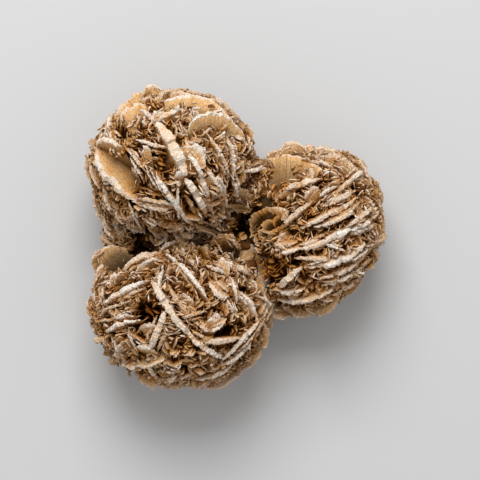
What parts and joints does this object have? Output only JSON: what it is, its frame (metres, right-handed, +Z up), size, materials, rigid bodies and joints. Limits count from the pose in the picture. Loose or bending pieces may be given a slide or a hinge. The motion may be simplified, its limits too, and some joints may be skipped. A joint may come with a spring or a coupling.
{
  "type": "gypsum sand rose",
  "caption": "Cluster of round sand rose rosettes of pale gypsum blades grown together in one stone, to lie on a shelf or table.",
  "frame": {"origin": "on the resting surface, below the middle of the rose's box", "axes": "+Z up, away from the surface, along the shortest extent; +X towards the rosette that stands apart on the right when seen from above with +Y up the page"},
  "size_m": [0.0754, 0.0768, 0.0454],
  "materials": {
    "sandy_gypsum": "rough sandy tan blades with pale cream rims and dark brown gaps between them"
  },
  "bodies": {
    "root": {"sand_rose": "sandy_gypsum"}
  },
  "joints": []
}
